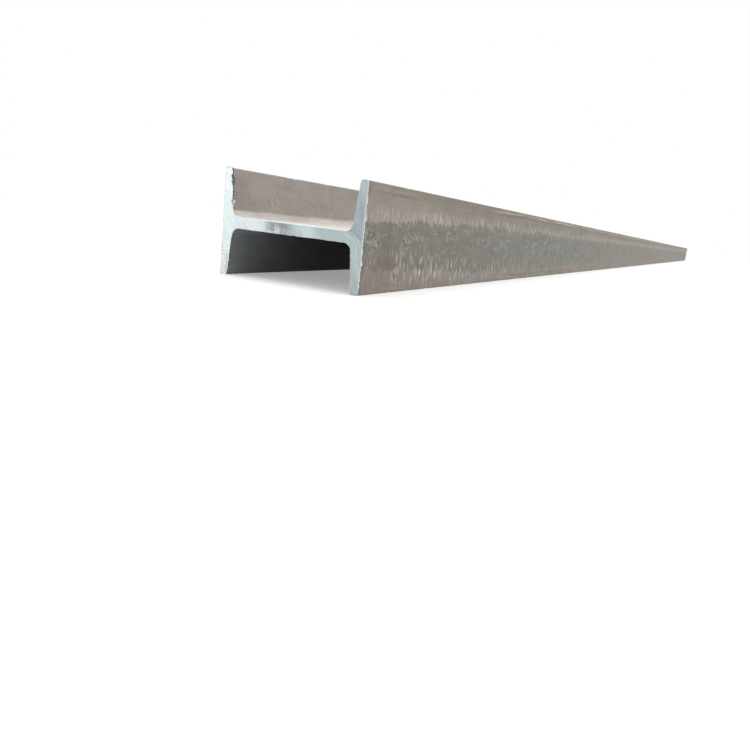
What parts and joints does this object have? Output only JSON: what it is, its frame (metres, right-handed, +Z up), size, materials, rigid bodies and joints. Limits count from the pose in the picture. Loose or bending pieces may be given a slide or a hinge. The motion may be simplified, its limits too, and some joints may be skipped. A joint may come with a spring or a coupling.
{
  "type": "steel i-beam",
  "caption": "Hot-rolled steel I-beam stock with tapered flanges, rounded toes and hollow roots, sawn square at its ends; carries loads in bending as a joist, rail or lintel.",
  "frame": {"origin": "middle of the rectangle that the lower flange toes stand on, halfway along the bar", "axes": "+X along the bar, +Y across the depth of the section from one flange to the other, +Z up, square to the web"},
  "size_m": [6, 0.15, 0.1],
  "materials": {
    "rolled_steel": "hot-rolled skin with thin brown rust and grey-green mill scale, bright where it is sawn"
  },
  "bodies": {
    "root": {"rolled_beam": "rolled_steel"}
  },
  "joints": []
}
